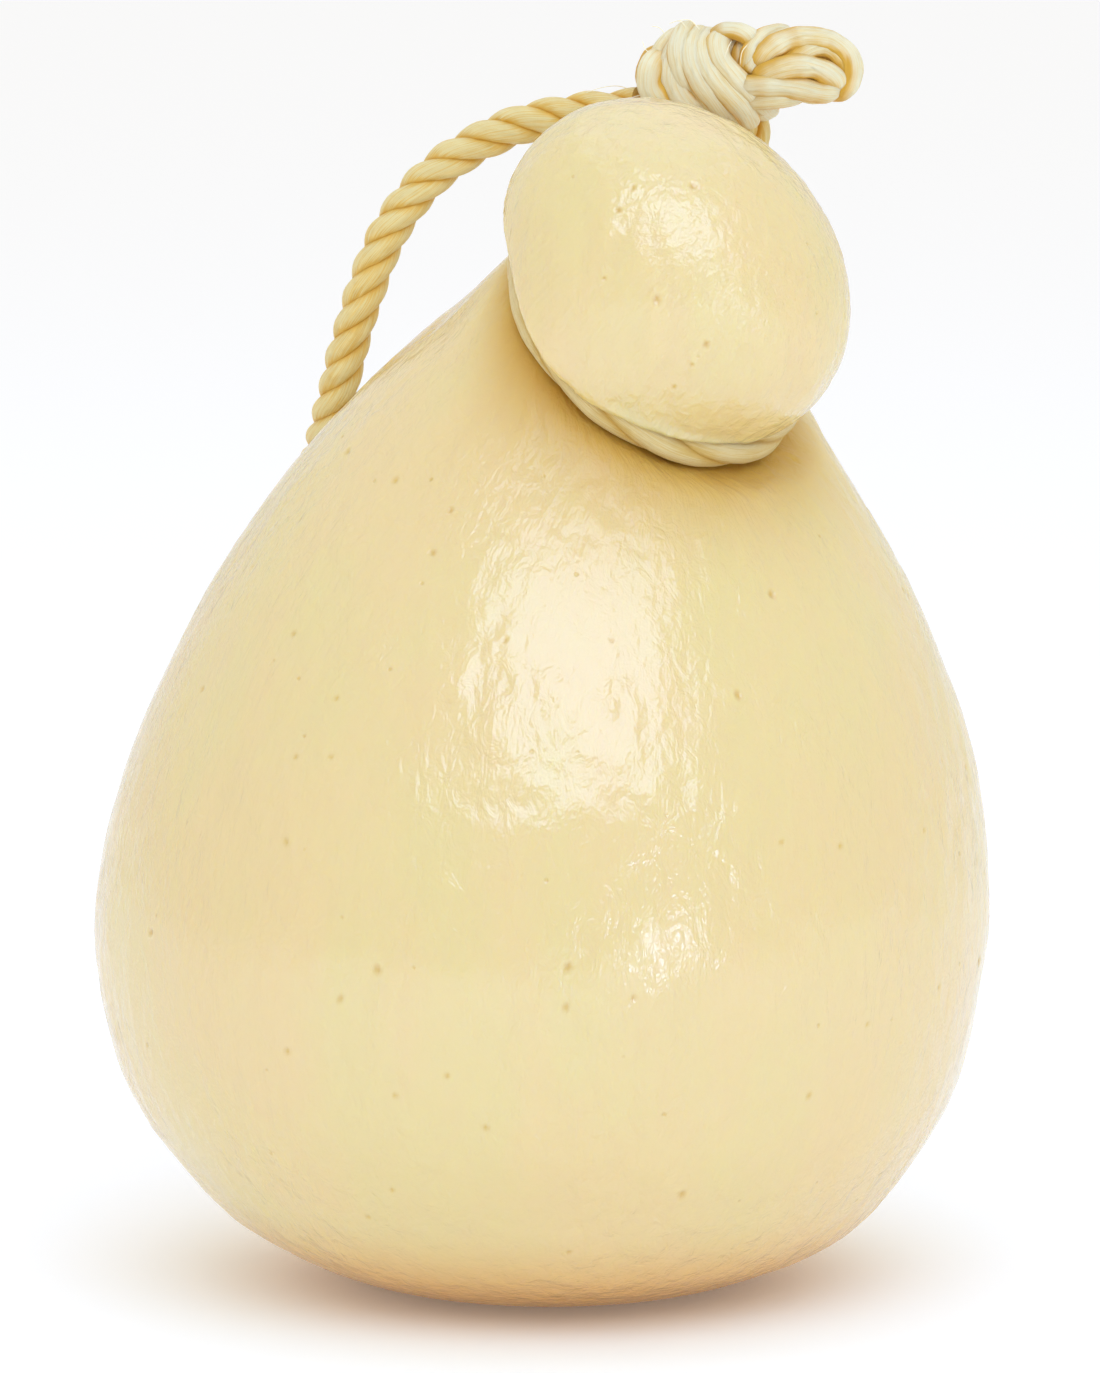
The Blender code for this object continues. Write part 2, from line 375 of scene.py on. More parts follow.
def ropeTree():
    sizes = {name: rope[name] for name in ropeSizes}
    tree, graph = newTree("twistedRope", {**sizes, "steps": 1, "material": None})
    node = graph.node
    given = node("NodeGroupInput")
    curve = node("GeometryNodeMeshToCurve", {}, {0: given})
    curve = node("GeometryNodeResampleCurve", {"mode": "COUNT"}, {"Curve": curve, "Count": given["steps"]})
    travelled = node("GeometryNodeSplineParameter", {}, {}, "Length")
    normal = node("GeometryNodeInputNormal")
    tangent = node("GeometryNodeInputTangent")
    sideways = graph.vector("CROSS_PRODUCT", tangent, normal)
    curve = graph.store(curve, "along", travelled)
    place = node("GeometryNodeInputPosition")
    strands = node("GeometryNodeJoinGeometry")
    # the lay is longer near the start where the rope is loose
    loose = (travelled / given["looseReach"] * -1.0).math("EXPONENT") * given["looseTurns"]
    turned = (travelled / given["lay"] + loose) * (2 * math.pi) + given["startTurn"]
    for number in range(3):
        angle = turned + number * 2 * math.pi / 3
        ahead = graph.scaled(normal, angle.math("COSINE"))
        aside = graph.scaled(sideways, angle.math("SINE"))
        outward = graph.vector("ADD", ahead, aside)
        marked = graph.store(curve, "outward", outward, "FLOAT_VECTOR")
        offset = graph.scaled(outward, given["spread"])
        moved = node("GeometryNodeSetPosition", {}, {"Geometry": marked, "Offset": offset})
        wobble = graph.noise(place, fibres["wobbleScale"] + fibres["wobbleStep"] * number, 1.0)
        fullness = (wobble - 0.5) * given["unevenness"] * 2.0 + 1.0
        tilt = travelled * given["twist"] + number * fibres["tiltStep"]
        moved = node("GeometryNodeSetCurveTilt", {}, {"Curve": moved, "Tilt": tilt})
        seeded = graph.vector("ADD", place, (fibres["seedStep"] * number, 0.0, 0.0))
        section = graph.store(graph.circle(given["sides"]), "section", seeded, "FLOAT_VECTOR")
        scaled = graph.scaled(place, given["strand"])
        section = node("GeometryNodeSetPosition", {}, {"Geometry": section, "Position": scaled})
        swept = {"Curve": moved, "Profile Curve": section, "Scale": fullness, "Fill Caps": True}
        tube = node("GeometryNodeCurveToMesh", {}, swept)
        tree.links.new(tube.socket, strands.socket.node.inputs[0])
    facing = node("GeometryNodeInputNormal")
    # how far a face looks out from its strand: high on the crests, low in the grooves, for painted light
    # and shade
    crest = graph.vector("DOT_PRODUCT", facing, graph.named("outward", "FLOAT_VECTOR"), output="Value")
    whole = fibreRelief(graph, strands, given["fibreDepth"])
    whole = graph.store(whole, "crest", crest)
    whole = node("GeometryNodeSetShadeSmooth", {}, {"Geometry": whole})
    closeTree(graph, whole, given["material"])
    return tree


def growRope(piece, tree, kind, steps, material):
    sizes = {name: kind[name] for name in ropeSizes}
    growWith(piece, tree, {**sizes, "steps": steps, "material": material})


def fibreMaterial(name, tones, gloss, seamShadeStart, relief=1.0):
    # pale glossy bundles of fibre, with painted shade that turns the grooves golden and painted light on
    # the crests
    material, graph = newMaterial(name)
    section = graph.stretch(graph.attribute("section", "Vector"), fibres["streakAcross"])
    joined = graph.vector("ADD", section, graph.upward(graph.attribute("along") * fibres["streakAlong"]))
    streak = graph.noise(joined, *fibres["streak"])
    fine = graph.noise(joined, *fibres["fine"])
    cloud = graph.noise(graph.node("ShaderNodeTexCoord", {}, {}, "Object"), *fibres["cloud"])
    crest = graph.attribute("crest")
    # the crest share paints light on the outer faces; streaks, fine noise and cloud are the fibres' own
    # tone
    tone = graph.between(crest, 0.0, 0.95) * fibres["crestShare"] + streak * fibres["streakShare"]
    tone = tone + fine * fibres["fineShare"] + cloud * fibres["cloudShare"]
    colour = graph.blend(graph.between(tone, *fibres["toneRange"]), tones["gold"], tones["pale"])
    # painted shade in the seams between strands
    colour = graph.blend(graph.between(crest, seamShadeStart, seamShadeStart - fibres["seamWidth"]), colour, tones["deep"])
    height = (streak * fibres["streakHeight"] + fine * fibres["fineHeight"]) * relief
    closeMaterial(graph, graph.node("ShaderNodeBsdfPrincipled", {"subsurface_method": "RANDOM_WALK"}, {
        "Base Color": colour,
        "Roughness": gloss + (fine - 0.5) * fibres["glossRange"],
        "Subsurface Weight": 0.15,
        "Subsurface Radius": (1.0, 0.9, 0.7),
        "Subsurface Scale": 0.0006,
        "Specular IOR Level": 0.45,
        "Normal": graph.bump(height),
    }))
    return material


def makeHangingLoop(tree, material):
    route = smoothThrough(loopRoute, rope["routeSteps"])
    length = lengthOf(route)
    piece = lineObject("hanging_rope", evenlySpaced(route, rope["linePoints"]))
    growRope(piece, tree, rope, int(length / rope["ringSpacing"]), material)
    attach(piece, "root")
    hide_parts("hanging_loop")
    print("hanging rope", round(length, 4), "m,", len(piece.data.polygons), "faces")


# The cheese: a turned body, leaning near the neck, a groove for the rope and the ball head.

cheese = {
    "outline": [
        (0.0, 0.025), (0.0035, 0.0389), (0.011, 0.0538), (0.022, 0.0643), (0.038, 0.0737), (0.064, 0.0784),
        (0.088, 0.0752), (0.108, 0.0685), (0.126, 0.0595), (0.141, 0.0497), (0.152, 0.041), (0.161, 0.0327),
    ],
    "outlineSteps": 24,
    "sides": 300,
    "bodyRows": 172,
    "grooveRows": 22,
    "lipRows": 7,
    "headRows": 72,
    "baseRows": 6,
    "bellyDrift": -0.00165,
    "bellyTop": 0.110,
    "neckCentre": Vector((0.0182, -0.020, 0.1702)),
    "neckAxis": Vector((0.505, -0.54, 0.675)).normalized(),
    "shoulderLean": Vector((0.0217, -0.020, 0.0)),
    "leanPower": 5.85,
    "tiltPower": 8.0,
    "tieRadius": 0.0258,
    "grooveRadius": 0.00405,
    "grooveLip": 60.0,
    "headCentre": Vector((0.0214, -0.027, 0.1804)),
    "headHalves": (0.0328, 0.0263, 0.027),
    "headWidthAxis": Vector((0.706, 0.051, 0.707)),
    "headDepthAxis": Vector((-0.016, -0.996, 0.087)),
    "headFirst": -15.0,
    # at the lower left of the front the head hangs over the rope: degrees round the neck, metres
    "hangSide": 251.0,
    "hangSpread": (29.0, 38.0),     # towards the back and towards the front
    "hangOut": 0.005,
    "hangDown": 0.0015,
    "hangTop": 30.0,
    "hangBulge": 0.002,
    "hangWay": (0.6, 0.8),          # outwards and down
    "lipBulge": 0.15,
    "lipReach": 44.0,
    "lipBlend": 5,                  # rows on each side of a lip that are smoothed
    "lipPasses": 4,
    "footRows": 26,                 # where the streaks close up under the cheese
    "footRadius": 0.05,
    "seed": 11,
}

# Small pits of the curd: the front ones as places in the photograph, the back ones scattered.

pits = {
    # right and down in pixels, radius in millimetres
    "front": [
        (772, 594, 1.1), (738, 695, 1.1), (781, 842, 0.8), (840, 846, 0.8), (395, 480, 0.9),
        (450, 510, 0.9), (432, 552, 1.0), (294, 634, 0.9), (336, 698, 0.8), (296, 757, 0.8),
        (331, 757, 0.7), (287, 842, 0.9), (202, 689, 0.9), (377, 969, 1.1), (340, 999, 0.9),
        (150, 932, 1.0), (447, 1076, 0.8), (395, 1096, 0.7), (486, 1128, 0.8), (273, 1151, 0.8),
        (392, 1191, 0.7), (368, 1217, 0.7), (288, 1051, 0.9), (568, 967, 1.1), (566, 1007, 0.9),
        (633, 998, 0.8), (809, 1096, 0.8), (867, 1024, 0.7), (938, 987, 0.8), (682, 1194, 1.2),
        (569, 1252, 0.8), (657, 299, 1.2), (706, 344, 1.0), (674, 387, 0.7), (692, 364, 0.7),
        (604, 278, 0.7), (618, 210, 0.9), (633, 187, 0.9), (693, 186, 1.1), (612, 640, 0.7),
        (505, 640, 0.8),
    ],
    "scale": 0.68,
    "back": 34,
    "backTurns": (-0.2, 1.2),       # half turns round the cheese
    "backHeights": (0.015, 0.15),
    "backRadii": (0.0004, 0.0008),
    "rayStart": 0.3,
    "finerReach": 0.0026,
    "stretch": (1.0, 1.5),
    "slant": 0.6,
    "reach": 2.4,                   # from here on in radii of the pit
    "depth": 0.42,
    "narrowness": 1.35,
    "stainNarrowness": 1.25,
    "rimHeight": 0.16,
    "rimPlace": 1.5,
    "rimWidth": 0.4,
}


neckAxis = cheese["neckAxis"]
neckLine = np.array(neckAxis)
neckCentre = np.array(cheese["neckCentre"])


def ringFrame(axis):
    # two directions across the axis
    across = Vector((0.0, 1.0, 0.0)).cross(axis).normalized()
    return across, axis.cross(across)


def ringDirections(axis, turns):
    across, along = ringFrame(axis)
    return np.outer(np.cos(turns), np.array(across)) + np.outer(np.sin(turns), np.array(along))


def ringRow(centre, axis, radius, turns):
    return np.array(centre) + ringDirections(axis, turns) * radius


def hangWeight(turns):
    # 1 where the head hangs lowest over the rope
    away = (np.degrees(turns) - cheese["hangSide"] + 180.0) % 360.0 - 180.0
    back, front = cheese["hangSpread"]
    return np.exp(-((away / np.where(away < 0, back, front)) ** 2))[:, None]


def bodyRow(height, radius, turns):
    rise = height / cheese["neckCentre"].z
    drift = cheese["bellyDrift"] * math.sin(math.pi * min(height / cheese["bellyTop"], 1.0)) ** 2
    centre = Vector((drift, 0.0, height)) + cheese["shoulderLean"] * rise ** cheese["leanPower"]
    upright = Vector((0.0, 0.0, 1.0))
    tilt = upright.angle(neckAxis) * rise ** cheese["tiltPower"]
    sideways = Vector((neckAxis.x, neckAxis.y, 0.0)).normalized()
    return ringRow(centre, upright * math.cos(tilt) + sideways * math.sin(tilt), radius, turns)


def headRow(latitude, turns):
    depth = np.array(cheese["headDepthAxis"].normalized())
    width = np.array(cheese["headWidthAxis"])
    width = width - depth * width.dot(depth)
    width /= np.linalg.norm(width)
    turned = np.array([np.cross(depth, width), width, depth])
    stretch = turned.T @ np.diag(cheese["headHalves"]) @ turned
    pole = stretch @ neckLine
    pole /= np.linalg.norm(pole)
    across = np.linalg.solve(stretch, np.array(ringFrame(neckAxis)[0]))
    across /= np.linalg.norm(across)
    along = np.cross(pole, across)
    outward = np.outer(np.cos(turns), across) + np.outer(np.sin(turns), along)
    points = pole * math.sin(latitude) + outward * math.cos(latitude)
    low = max(cheese["hangTop"] - math.degrees(latitude), 0.0) / (cheese["hangTop"] - cheese["headFirst"])
    hang = ringDirections(neckAxis, turns) * cheese["hangOut"] - neckLine * cheese["hangDown"]
    return np.array(cheese["headCentre"]) + points @ stretch.T + hang * hangWeight(turns) * low**2


def grooveRow(share, turns):
    lip, radius = cheese["grooveLip"], cheese["grooveRadius"]
    opening = 2 * lip - cheese["lipReach"] * hangWeight(turns)
    angles = -np.radians(lip + (360.0 - opening) * share)
    outward = ringDirections(neckAxis, turns) * (cheese["tieRadius"] + radius * np.cos(angles))
    return neckCentre + outward + neckLine * radius * np.sin(angles)


def lipRow(share, below, above, turns):
    # between the groove and the head, bulging out over the rope
    outwards, down = cheese["hangWay"]
    out = ringDirections(neckAxis, turns) * outwards - neckLine * down
    bulge = (below + above) / 2 + out * cheese["hangBulge"] * (cheese["lipBulge"] + hangWeight(turns))
    return below * (1 - share) ** 2 + bulge * 2 * share * (1 - share) + above * share**2


def cheeseRows():
    turns = np.linspace(0.0, 2 * math.pi, cheese["sides"], endpoint=False)
    outline = smoothThrough(cheese["outline"], cheese["outlineSteps"])
    rows = []
    for step in range(1, cheese["baseRows"]):
        rows.append(bodyRow(0.0, outline[0][1] * step / cheese["baseRows"], turns))
    for height, radius in evenlySpaced(outline, cheese["bodyRows"]):
        rows.append(bodyRow(height, radius, turns))
    for step in range(cheese["grooveRows"]):
        rows.append(grooveRow(step / (cheese["grooveRows"] - 1), turns))
    first = cheese["headFirst"]
    below, above = rows[-1], headRow(math.radians(first), turns)
    for step in range(1, cheese["lipRows"] + 1):
        rows.append(lipRow(step / (cheese["lipRows"] + 1), below, above, turns))
    for step in range(cheese["headRows"]):
        rows.append(headRow(math.radians(first + (90.0 - first) * step / cheese["headRows"]), turns))
    return np.array(rows), turns


def cheeseMesh():
    rows, turns = cheeseRows()
    count, sides = rows.shape[:2]
    # the groove's lips are rounded: each row of points is averaged with its neighbours there
    start = cheese["baseRows"] - 1 + cheese["bodyRows"]
    end = start + cheese["grooveRows"]
    for edge in (start, end, end + cheese["lipRows"]):
        low, high = edge - cheese["lipBlend"], edge + cheese["lipBlend"]
        for _ in range(cheese["lipPasses"]):
            middle = rows[low:high].copy()
            rows[low:high] = middle * 0.5 + (rows[low - 1:high - 1] + rows[low + 1:high + 1]) * 0.25
    bottom = bodyRow(0.0, 0.0, turns[:1])[0]
    crown = headRow(math.radians(90.0), turns[:1])[0]
    points = np.vstack([rows.reshape(-1, 3), bottom, crown])
    travelled = np.zeros(count)
    travelled[1:] = np.cumsum(np.linalg.norm(np.diff(rows[:, 0], axis=0), axis=1))
    # each point's place on the skin: round it, and up along it
    around = np.zeros((len(points), 3))
    widths = np.ones(count)
    centres = rows.mean(axis=1)
    reach = np.linalg.norm(rows - centres[:, None], axis=2).mean(axis=1)
    widths[start:] = reach[start:] / reach[start]
    foot = cheese["footRows"]
    widths[:foot] *= np.minimum(reach[:foot] / cheese["footRadius"], 1.0)
    around[:-2, 0] = np.outer(widths, np.cos(turns)).ravel()
    around[:-2, 1] = np.outer(widths, np.sin(turns)).ravel()
    around[:-2, 2] = np.repeat(travelled, sides)
    around[-1, 2] = travelled[-1]
    faces = []
    for row in range(count - 1):
        low, high = row * sides, (row + 1) * sides
        for side in range(sides):
            after = (side + 1) % sides
            faces.append((low + side, low + after, high + after, high + side))
    for side in range(sides):
        after = (side + 1) % sides
        faces.append((after, side, count * sides))
        faces.append(((count - 1) * sides + side, (count - 1) * sides + after, count * sides + 1))
    mesh = bpy.data.meshes.new("cheese_skin")
    mesh.from_pydata(points.tolist(), [], faces)
    layer = mesh.attributes.new("around", "FLOAT_VECTOR", "POINT")
    layer.data.foreach_set("vector", around.astype(np.float32).ravel())
    return mesh


def pitPlaces(mesh):
    # the pits' centres on the skin and their radii
    corners = [vertex.co for vertex in mesh.vertices]
    tree = BVHTree.FromPolygons(corners, [face.vertices for face in mesh.polygons])
    places = []
    for x, y, radius in pits["front"]:
        hit = tree.ray_cast(view["place"], rayThrough(x, y))[0]
        if hit is not None:
            places.append((hit, radius * pits["scale"] / 1000.0))
    draw = random.Random(cheese["seed"])
    first, last = pits["backTurns"]
    while len(places) < len(pits["front"]) + pits["back"]:
        turn = draw.uniform(first * math.pi, last * math.pi)
        height = draw.uniform(*pits["backHeights"])
        outward = Vector((math.cos(turn), math.sin(turn), 0.0))
        start = outward * pits["rayStart"] + Vector((0.0, 0.0, height))
        hit = tree.ray_cast(start, -outward)[0]
        if hit is not None:
            places.append((hit, draw.uniform(*pits["backRadii"])))
    return places


def pressPits(mesh):
    # finer faces round each pit, then a small dimple with a low rim
    places = pitPlaces(mesh)
    shape = bmesh.new()
    shape.from_mesh(mesh)
    finder = KDTree(len(shape.faces))
    shape.faces.ensure_lookup_table()
    for number, face in enumerate(shape.faces):
        finder.insert(face.calc_center_median(), number)
    finder.balance()
    edges = set()
    for centre, _ in places:
        for _, number, _ in finder.find_range(centre, pits["finerReach"]):
            edges.update(shape.faces[number].edges)
    bmesh.ops.subdivide_edges(shape, edges=list(edges), cuts=2, use_grid_fill=True)
    shape.normal_update()
    pit = shape.verts.layers.float.new("pit")
    shape.verts.ensure_lookup_table()
    finder = KDTree(len(shape.verts))
    for number, vertex in enumerate(shape.verts):
        finder.insert(vertex.co, number)
    finder.balance()
    draw = random.Random(cheese["seed"] + 1)
    for centre, radius in places:
        longer = draw.uniform(*pits["stretch"])
        slant = draw.uniform(-pits["slant"], pits["slant"])
        normal = shape.verts[finder.find(centre)[1]].normal.copy()
        sideways = normal.cross(Vector((slant, 0.0, 1.0))).normalized()
        for place, number, _ in finder.find_range(centre, radius * pits["reach"]):
            vertex = shape.verts[number]
            offset = place - centre
            off = offset.dot(sideways)
            far = math.sqrt(off**2 + max(offset.length_squared - off**2, 0.0) / longer**2) / radius
            rim = pits["rimHeight"] * math.exp(-(((far - pits["rimPlace"]) / pits["rimWidth"]) ** 2))
            hollow = math.exp(-((far * pits["narrowness"]) ** 2)) - rim
            vertex.co -= normal * hollow * radius * pits["depth"]
            vertex[pit] = max(vertex[pit], math.exp(-((far * pits["stainNarrowness"]) ** 2)))
    shape.to_mesh(mesh)
    shape.free()
    print("pits", len(places), "faces now", len(mesh.polygons))


def skinTree():
    tree, graph = newTree("skinRelief", {"material": None})
    node = graph.node
    given = node("NodeGroupInput")
    place = node("GeometryNodeInputPosition")
    around = graph.named("around", "FLOAT_VECTOR")
    dents = graph.noise(place, *skin["dents"]) - 0.5
    ripple = graph.grain(place, *skin["ripples"]) - 0.5
    patch = graph.between(graph.noise(place, *skin["patches"]), *skin["patchRange"])
    pleat = graph.grain(around, *skin["pleats"]) - 0.5
    neck = graph.between(graph.rise(around), *skin["neckRange"])
    low = graph.between(graph.rise(place), *skin["calmFoot"])
    relief = dents * skin["dentDepth"] + ripple * skin["rippleDepth"] * patch.raised(skin["rippleLeast"])
    relief = relief + pleat * skin["pleatDepth"] * neck.raised(skin["pleatLeast"])
    offset = graph.scaled(node("GeometryNodeInputNormal"), relief * low)
    moved = node("GeometryNodeSetPosition", {}, {"Geometry": given, "Offset": offset})
    moved = node("GeometryNodeSetShadeSmooth", {}, {"Geometry": moved})
    closeTree(graph, moved, given["material"])
    return tree


skin = {
    "dentDepth": 0.0016,
    "rippleDepth": 0.00095,
    "pleatDepth": 0.0005,
    # noises: how they are drawn out, if they are, then scale, detail, roughness and distortion
    "dents": (1 / 0.034, 1.5, 0.45),
    "ripples": ((1.0, 1.0, 0.42), 1 / 0.0052, 2.0, 0.5, 0.3),
    "pleats": ((1.0, 1.0, 2.2), 11.0, 2.0, 0.6),
    "patches": (38.0, 1.0),
    "patchRange": (0.38, 0.62),
    "rippleLeast": 0.45,
    "pleatLeast": 0.1,
    "neckRange": (0.14, 0.22),
    "calmFoot": (0.0015, 0.010),
    "streakHeight": 0.00038,
    "rippleHeight": 0.00068,
    "filmHeight": 0.00005,
    "speckHeight": 0.00016,
    "curd": linear(227, 205, 142),
    "greenish": linear(224, 206, 140),
    "peach": linear(230, 201, 143),
    # painted shade: darker orange curd under the head and in the groove
    "creviceShade": linear(198, 146, 22),
    # painted shade: darker, warmer curd at the bottom near the floor
    "foot": linear(226, 162, 32),
    "pit": linear(212, 174, 66),
    # the same for the material's noises
    "cloud": ((1.0, 1.0, 0.5), 26.0, 3.0, 0.55),
    "mottle": ((1.0, 1.0, 0.35), 90.0, 4.0, 0.6),
    "streaks": ((1.0, 1.0, 3.2), 22.0, 3.0, 0.55, 0.2),
    "fineRipples": ((1.0, 1.0, 0.5), 330.0, 3.0, 0.55, 0.5),
    "finePatches": (42.0, 2.0),
    "finePatchRange": (0.40, 0.62),
    "streakPatches": (30.0, 1.0),
    "streakRange": (0.42, 0.62),
    "streakLeast": 0.3,
    "film": (1300.0, 1.0, 0.6),
    "cloudShare": 0.6,
    "cloudRange": (0.36, 0.64),
    "curdShare": 0.45,
    "footRange": (0.022, 0.001),
    "footShare": 0.85,
    "speckScale": 150.0,
    "speckEdge": (0.085, 0.02),
    "speckChoice": (0.5, 0.52),
    "pitShare": 0.8,
    "speckShare": 0.6,
    "smoothest": 0.09,
    "roughRange": 0.10,
    "shelterShare": 1.2,
    # painted shade and a duller curd under the head and in the groove: name, reach towards the head and
    # towards the body
    "shades": (("creviceShade", 0.0045, 0.012), ("shelter", 0.005, 0.019)),
    "shadeFalloff": 1.5,
    "shadeSquash": 1.5,
    "shadeAbove": 0.35,
    "shadeBelow": (0.6, 0.004),                 # how it grows below the rope: start and reach
    "shadeFront": (0.35, 0.03, 0.75, 0.25),     # and to the front: sideways share, reach, start, least
}


def paintCreviceShade(mesh):
    # 1 under the head and in the groove: one layer paints shade into the curd's colour there, the other
    #                                     makes the curd duller
    count = len(mesh.vertices)
    places = np.empty(count * 3)
    mesh.vertices.foreach_get("co", places)
    places = places.reshape(-1, 3) - neckCentre
    high = places @ neckLine
    wide = np.linalg.norm(places - np.outer(high, neckLine), axis=1)
    squashed = high * np.where(high > 0, skin["shadeSquash"], 1.0)
    far = np.sqrt((wide - cheese["tieRadius"]) ** 2 + squashed**2)
    least = skin["shadeAbove"]
    start, reach = skin["shadeBelow"]
    below = np.clip(start - high / reach, 0.0, 1.0)
    side, reach, start, fewest = skin["shadeFront"]
    front = np.clip((places[:, 0] * side - places[:, 1]) / reach + start, fewest, 1.0)
    for name, up, down in skin["shades"]:
        reach = np.where(high > 0, up, down * front)
        close = np.exp(-((far / reach) ** skin["shadeFalloff"])) * (least + (1.0 - least) * below)
        layer = mesh.attributes.new(name, "FLOAT", "POINT")
        layer.data.foreach_set("value", close.astype(np.float32))


def curdMaterial():
    material, graph = newMaterial("waxedCurd")
    place = graph.node("ShaderNodeTexCoord", {}, {}, "Object")
    around = graph.attribute("around", "Vector")
    cloud = graph.grain(place, *skin["cloud"])
    patch = graph.between(graph.noise(place, *skin["finePatches"]), *skin["finePatchRange"])
    mottle = graph.grain(place, *skin["mottle"])
    clouded = cloud * skin["cloudShare"] + mottle * (1.0 - skin["cloudShare"])
    colour = graph.blend(graph.between(clouded, *skin["cloudRange"]), skin["greenish"], skin["peach"])
    colour = graph.blend(skin["curdShare"], colour, skin["curd"])
    # painted shade towards the bottom, where the cheese meets the floor
    foot = graph.between(graph.rise(place), *skin["footRange"]) * skin["footShare"]
    colour = graph.blend(foot, colour, skin["foot"])
    # painted shade under the head and in the groove
    colour = graph.blend(graph.attribute("creviceShade"), colour, skin["creviceShade"])
    streaks = graph.grain(around, *skin["streaks"])
    streaky = graph.between(graph.noise(place, *skin["streakPatches"]), *skin["streakRange"])
    ripple = graph.grain(place, *skin["fineRipples"])
    spread = {"Vector": place, "Scale": skin["speckScale"]}
    cells = graph.node("ShaderNodeTexVoronoi", {}, spread, "Distance")
    chosen = graph.node("ShaderNodeSeparateColor", {}, {0: cells["Color"]}, 0)
    speck = graph.between(cells, *skin["speckEdge"]) * graph.between(chosen, *skin["speckChoice"])
    height = streaks * streaky.raised(skin["streakLeast"]) * skin["streakHeight"]
    height = height + graph.noise(place, *skin["film"]) * skin["filmHeight"] - speck * skin["speckHeight"]
    height = height + ripple * patch.raised(skin["rippleLeast"]) * skin["rippleHeight"]
    spots = (graph.attribute("pit") * skin["pitShare"]).math("MAXIMUM", speck * skin["speckShare"])
    colour = graph.blend(spots, colour, skin["pit"])
    curd = {
        "Base Color": colour,
        "IOR": 1.6,
        "Roughness": skin["smoothest"] + mottle * skin["roughRange"],
        "Subsurface Weight": 0.75,
        "Subsurface Radius": (1.0, 0.8, 0.34),
        "Subsurface Scale": 0.005,
        "Specular IOR Level": 1.0,
        "Coat Weight": 0.2,
        "Coat Roughness": 0.1,
        "Normal": graph.bump(height),
    }
    dull = {**curd, "IOR": 1.4, "Roughness": 0.5, "Specular IOR Level": 0.3, "Coat Weight": 0.0}
    method = {"subsurface_method": "RANDOM_WALK"}
    glossy = graph.node("ShaderNodeBsdfPrincipled", method, curd)
    sheltered = graph.node("ShaderNodeBsdfPrincipled", method, dull)
    share = graph.attribute("shelter") * skin["shelterShare"]
    closeMaterial(graph, graph.node("ShaderNodeMixShader", {}, {0: share, 1: glossy, 2: sheltered}))
    return material


def makeCheese():
    mesh = cheeseMesh()
    pressPits(mesh)
    paintCreviceShade(mesh)
    piece = makeObject("cheese_skin", mesh)
    growWith(piece, skinTree(), {"material": curdMaterial()})
    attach(piece, "root")
    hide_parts("cheese")
    print("cheese", len(piece.data.polygons), "faces")


# The rope round the neck, half sunk in the wax.

tie = {
    **rope,
    "lay": 2 * math.pi * cheese["tieRadius"] / 3,   # three turns of the strands round the neck
    "strand": 0.00245,
    "spread": 0.0011,
    "ringPoints": 240,
    "sides": 28,
    "twist": 0.0,
    "unevenness": 0.08,
    "fibreDepth": 0.0001,
    "startTurn": 0.0,
    "looseTurns": 0.0,
    "pale": linear(238, 216, 156),
    "gold": linear(226, 192, 110),
    # painted shade in the grooves between strands
    "deep": linear(210, 160, 60),
}


def makeNeckRope(tree, material):
    turns = np.linspace(0.0, 2 * math.pi, tie["ringPoints"], endpoint=False)
    ring = ringRow(neckCentre, neckAxis, cheese["tieRadius"], turns)
    piece = lineObject("neck_rope", ring, closed=True)
    growRope(piece, tree, tie, tie["ringPoints"], material)
    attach(piece, "root")
    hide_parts("neck_tie")
    print("neck rope", len(piece.data.polygons), "faces")


# The knot: flat bundles of fibre round its middle, a tight bight and two legs to the neck.

